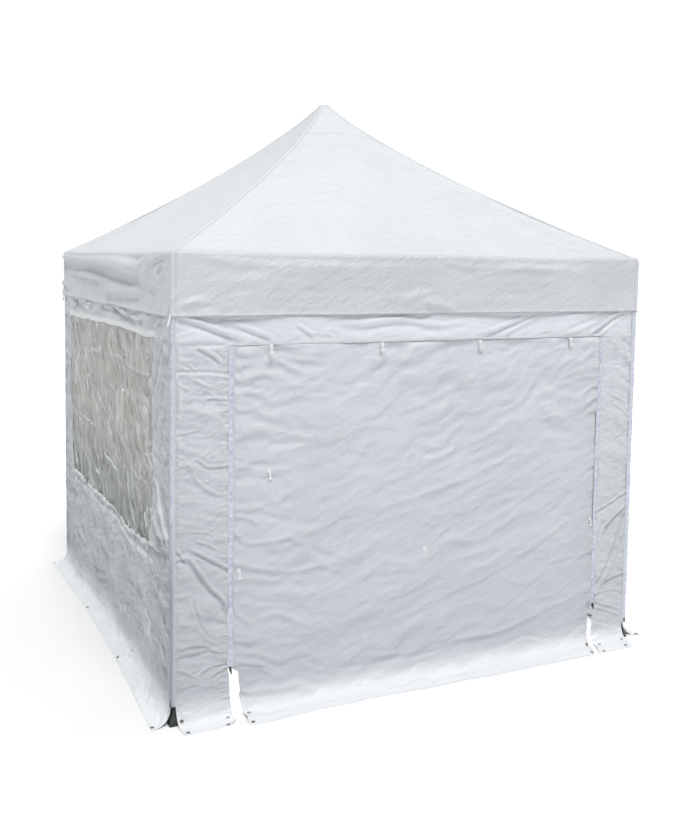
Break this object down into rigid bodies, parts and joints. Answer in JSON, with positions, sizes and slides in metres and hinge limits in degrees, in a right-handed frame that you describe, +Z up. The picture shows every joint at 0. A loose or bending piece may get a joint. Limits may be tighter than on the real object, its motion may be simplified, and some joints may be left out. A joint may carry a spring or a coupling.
{
  "type": "pop-up marquee tent",
  "caption": "Square pop-up marquee with a peaked canopy and valance, zipped side walls with ground flaps, clear windows and a zipped roll-up door on a folding frame.",
  "frame": {"origin": "on the ground at the middle of the tent's plan", "axes": "+Z up; the door wall faces -Y; the walls facing -X and +X have windows; the plain wall faces +Y"},
  "size_m": [3.2414, 3.3014, 3.4636],
  "materials": {
    "canopy_cloth": "white coated polyester, satin, faintly blue in the light",
    "wall_cloth": "white coated polyester, satin, creased",
    "window_film": "clear vinyl film, wavy, slightly hazy",
    "zip_tape": "pale lavender zip tape with a coil",
    "frame_metal": "light grey powder coat",
    "casting": "black moulded nylon",
    "foot_metal": "dark grey painted steel, scuffed"
  },
  "bodies": {
    "root": {"roof_panel_front": "canopy_cloth", "roof_panel_right": "canopy_cloth", "roof_panel_back": "canopy_cloth", "roof_panel_left": "canopy_cloth", "valance": "canopy_cloth", "front_wall": "wall_cloth", "door_panel": "wall_cloth", "back_wall": "wall_cloth", "left_wall": "wall_cloth", "right_wall": "wall_cloth", "left_window": "window_film", "right_window": "window_film", "door_zip_left": "zip_tape", "door_zip_right": "zip_tape", "corner_zip_front_left": "zip_tape", "corner_zip_front_right": "zip_tape", "corner_zip_back_right": "zip_tape", "corner_zip_back_left": "zip_tape", "outer_leg_front_left": "frame_metal", "outer_leg_front_right": "frame_metal", "outer_leg_back_right": "frame_metal", "outer_leg_back_left": "frame_metal", "inner_leg_front_left": "frame_metal", "inner_leg_front_right": "frame_metal", "inner_leg_back_right": "frame_metal", "inner_leg_back_left": "frame_metal", "side_truss_front": "frame_metal", "side_truss_right": "frame_metal", "side_truss_back": "frame_metal", "side_truss_left": "frame_metal", "roof_truss_front": "frame_metal", "roof_truss_right": "frame_metal", "roof_truss_back": "frame_metal", "roof_truss_left": "frame_metal", "centre_pole": "frame_metal", "top_bracket_front_left": "casting", "top_bracket_front_right": "casting", "top_bracket_back_right": "casting", "top_bracket_back_left": "casting", "slider_front_left": "casting", "slider_front_right": "casting", "slider_back_right": "casting", "slider_back_left": "casting", "lower_hub": "casting", "peak_cap": "casting", "foot_front_left": "foot_metal", "foot_front_right": "foot_metal", "foot_back_right": "foot_metal", "foot_back_left": "foot_metal"}
  },
  "joints": []
}
